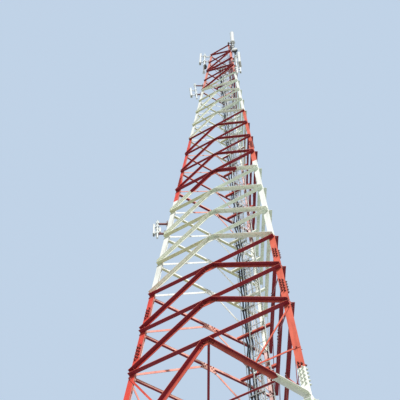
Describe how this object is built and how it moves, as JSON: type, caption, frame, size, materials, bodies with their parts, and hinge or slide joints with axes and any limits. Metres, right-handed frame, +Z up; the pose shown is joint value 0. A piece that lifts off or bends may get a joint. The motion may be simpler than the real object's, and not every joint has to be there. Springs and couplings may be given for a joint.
{
  "type": "three-legged lattice radio mast",
  "caption": "Tapering self-supporting lattice tower of steel angles on a triangular plan, banded red and white, with climbing ladder, feeder cables, panel antennas and drum dishes.",
  "frame": {"origin": "centre of the underside of the rear leg's base plate, on top of the footing", "axes": "+Z up; -Y is the front, towards the face between the left and right legs; +X to the right"},
  "size_m": [5.3914, 4.7441, 39.3003],
  "materials": {
    "tower_paint": "aviation paint in bands of orange-red and white over galvanised steel angle",
    "foot_steel": "thick steel plate in the lowest band's red",
    "galvanised": "weathered hot dip galvanised steel",
    "black_sheath": "black cable sheath",
    "grey_sheath": "grey cable sheath",
    "platform_steel": "dark grating",
    "dish_shell": "pale radome and shroud",
    "radio_case": "dark grey cast case",
    "antenna_cover": "off-white glass fibre cover"
  },
  "bodies": {
    "root": {"antenna_pipe_left_middle": "galvanised", "antenna_pipe_left_top": "galvanised", "antenna_pipe_left_upper": "galvanised", "antenna_pipe_peak": "galvanised", "antenna_pipe_right_top": "galvanised", "base_plate_left": "foot_steel", "base_plate_rear": "foot_steel", "base_plate_right": "foot_steel", "cable_ladder": "galvanised", "climbing_ladder": "galvanised", "corner_bars": "tower_paint", "dish_left_top": "dish_shell", "dish_right_top": "dish_shell", "feeder_cables_black": "black_sheath", "feeder_cables_grey": "grey_sheath", "lattice_front_lower": "tower_paint", "lattice_front_middle": "tower_paint", "lattice_front_upper": "tower_paint", "lattice_left_lower": "tower_paint", "lattice_left_middle": "tower_paint", "lattice_left_upper": "tower_paint", "lattice_right_lower": "tower_paint", "lattice_right_middle": "tower_paint", "lattice_right_upper": "tower_paint", "leg_left_lower": "tower_paint", "leg_left_middle": "tower_paint", "leg_left_upper": "tower_paint", "leg_rear_lower": "tower_paint", "leg_rear_middle": "tower_paint", "leg_rear_upper": "tower_paint", "leg_right_lower": "tower_paint", "leg_right_middle": "tower_paint", "leg_right_upper": "tower_paint", "leg_splices": "tower_paint", "panel_left_middle": "antenna_cover", "panel_left_top": "antenna_cover", "panel_left_upper": "antenna_cover", "panel_peak": "antenna_cover", "panel_right_narrow": "antenna_cover", "panel_right_wide": "antenna_cover", "plan_bracing": "tower_paint", "radio_unit": "radio_case", "rest_platforms": "platform_steel", "tube_antenna": "antenna_cover"}
  },
  "joints": []
}
